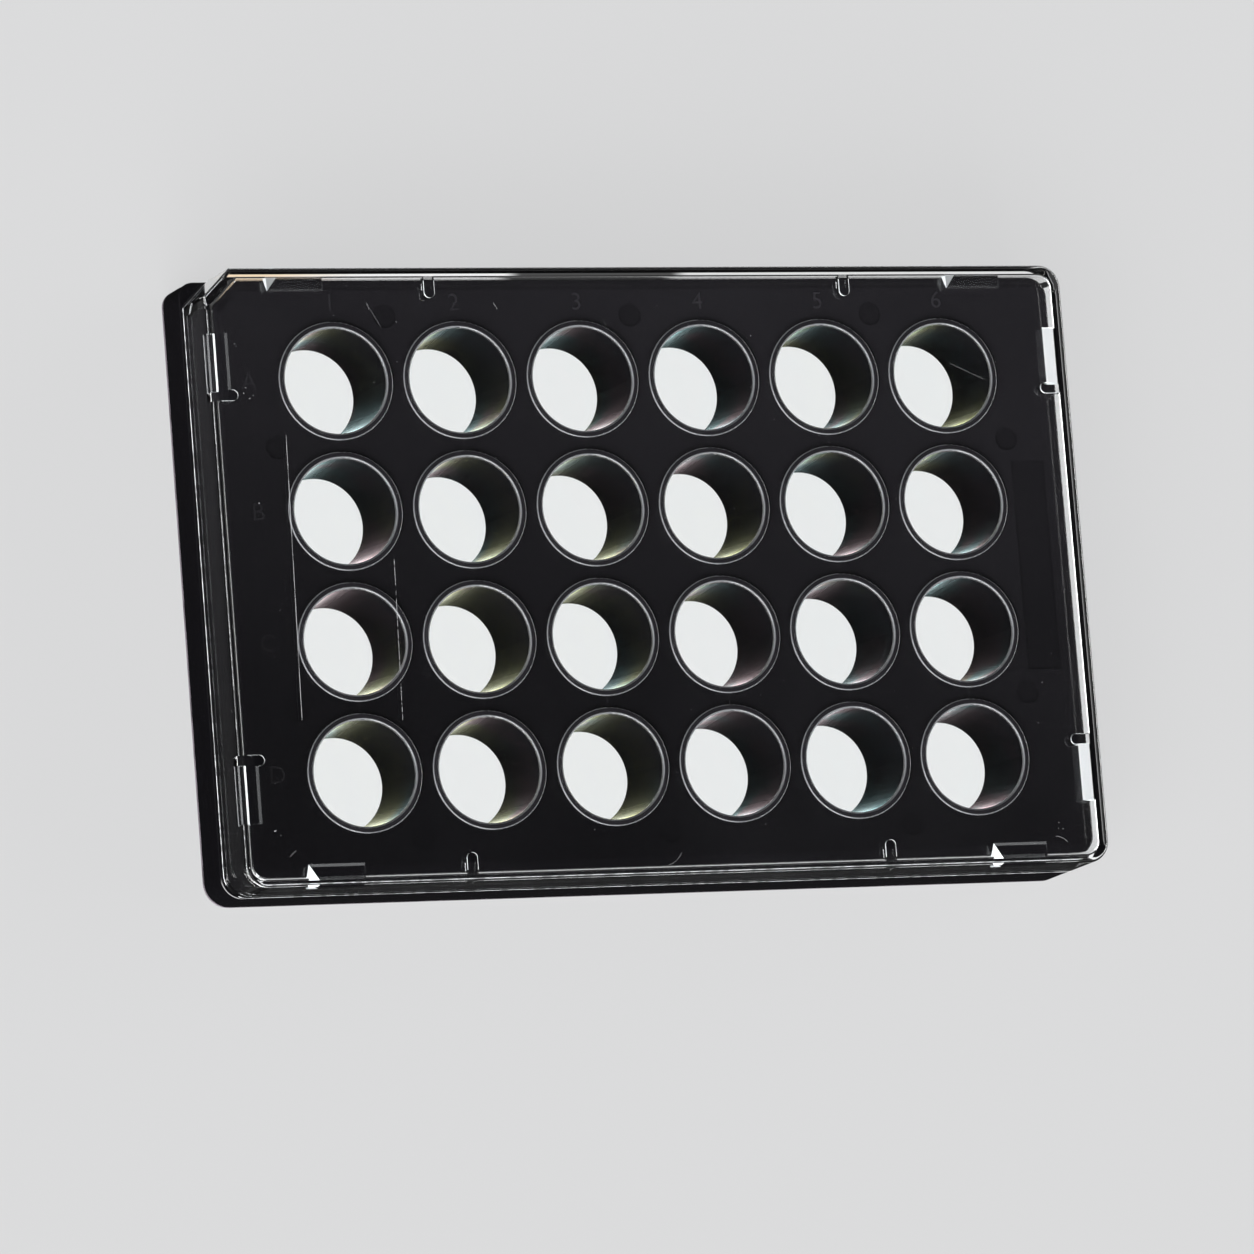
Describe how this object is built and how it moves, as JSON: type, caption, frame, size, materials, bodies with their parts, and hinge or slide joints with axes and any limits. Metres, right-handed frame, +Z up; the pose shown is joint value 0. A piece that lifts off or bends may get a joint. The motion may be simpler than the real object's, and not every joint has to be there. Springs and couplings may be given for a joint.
{
  "type": "well plate",
  "caption": "Lidded multiwell culture plate: black moulded frame with round open wells, a thin clear glass sheet as the wells' floor, and a clear chamfered lid resting on the deck.",
  "frame": {"origin": "middle of the foot, on the surface that the plate stands on", "axes": "+X along a row of wells from column 1 to column 6, +Y from row D towards row A, +Z up, out of the wells"},
  "size_m": [0.1278, 0.0854, 0.0173],
  "materials": {
    "black_moulding": "injection-moulded black polystyrene, glossy well walls and rims, satin deck",
    "bottom_glass": "clear, polished cover glass",
    "clear_moulding": "clear moulded polystyrene, polished, with fine handling scratches"
  },
  "bodies": {
    "root": {"plate_frame": "black_moulding", "deck": "black_moulding", "well_row_a": "black_moulding", "well_row_b": "black_moulding", "well_row_c": "black_moulding", "well_row_d": "black_moulding", "glass_bottom": "bottom_glass", "lid": "clear_moulding"}
  },
  "joints": []
}
